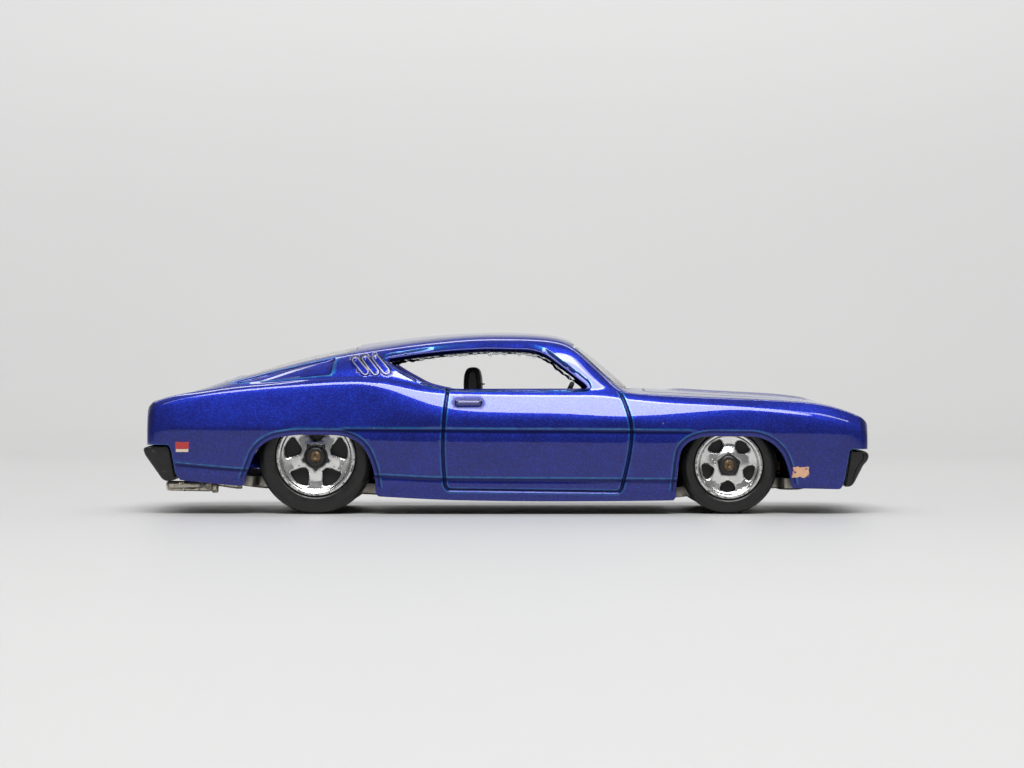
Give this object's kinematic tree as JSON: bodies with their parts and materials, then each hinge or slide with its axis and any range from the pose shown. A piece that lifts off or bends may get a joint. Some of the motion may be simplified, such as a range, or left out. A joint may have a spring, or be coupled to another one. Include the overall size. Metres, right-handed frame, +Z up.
{
  "type": "diecast collector car",
  "caption": "Small die-cast fastback coupe with blue metallic body, black trim, open side windows and chromed wheels that roll.",
  "frame": {"origin": "on the ground under the middle of the car's length and width", "axes": "+X towards the front of the car, +Y towards its left side, +Z up"},
  "size_m": [0.079, 0.029, 0.0197],
  "materials": {
    "blue_paint": "candy blue metallic over bare zinc, glossy clear coat",
    "clear_plastic": "clear moulded plastic",
    "interior_black": "satin black moulded plastic",
    "bumper_black": "semi-gloss black moulded plastic",
    "base_metal": "bare die-cast zinc with dark stain in its recesses",
    "axle_steel": "dull steel wire",
    "wheel_chrome": "hot-stamped chrome film on black plastic, worn",
    "tyre_black": "smooth semi-gloss black plastic tyre"
  },
  "bodies": {
    "car": {"body_shell": "blue_paint", "window_insert": "clear_plastic", "interior_tub": "interior_black", "driver_seat": "interior_black", "passenger_seat": "interior_black", "dashboard": "interior_black", "steering_wheel": "interior_black", "rear_bumper": "bumper_black", "front_bumper": "bumper_black", "grille_insert": "bumper_black", "base_plate": "base_metal", "rivet_front": "base_metal", "rivet_rear": "base_metal", "exhaust_left": "base_metal", "exhaust_right": "base_metal"},
    "front_axle": {"front_axle": "axle_steel"},
    "rear_axle": {"rear_axle": "axle_steel"},
    "wheel_front_left": {"wheel_front_left": "wheel_chrome", "tyre_front_left": "tyre_black"},
    "wheel_front_right": {"wheel_front_right": "wheel_chrome", "tyre_front_right": "tyre_black"},
    "wheel_rear_left": {"wheel_rear_left": "wheel_chrome", "tyre_rear_left": "tyre_black"},
    "wheel_rear_right": {"wheel_rear_right": "wheel_chrome", "tyre_rear_right": "tyre_black"}
  },
  "joints": [
    {"name": "front_axle_spin", "type": "hinge", "parent": "car", "child": "front_axle", "pos_m": [0.0239, 0, 0.00528], "axis": [0, 1, 0], "continuous": true},
    {"name": "rear_axle_spin", "type": "hinge", "parent": "car", "child": "rear_axle", "pos_m": [-0.0205, 0, 0.0062], "axis": [0, 1, 0], "continuous": true},
    {"name": "wheel_front_left_spin", "type": "hinge", "parent": "front_axle", "child": "wheel_front_left", "pos_m": [0.0239, 0.0115, 0.00528], "axis": [0, 1, 0], "continuous": true},
    {"name": "wheel_front_right_spin", "type": "hinge", "parent": "front_axle", "child": "wheel_front_right", "pos_m": [0.0239, -0.0115, 0.00528], "axis": [0, 1, 0], "continuous": true},
    {"name": "wheel_rear_left_spin", "type": "hinge", "parent": "rear_axle", "child": "wheel_rear_left", "pos_m": [-0.0205, 0.0113, 0.0062], "axis": [0, 1, 0], "continuous": true},
    {"name": "wheel_rear_right_spin", "type": "hinge", "parent": "rear_axle", "child": "wheel_rear_right", "pos_m": [-0.0205, -0.0113, 0.0062], "axis": [0, 1, 0], "continuous": true}
  ]
}
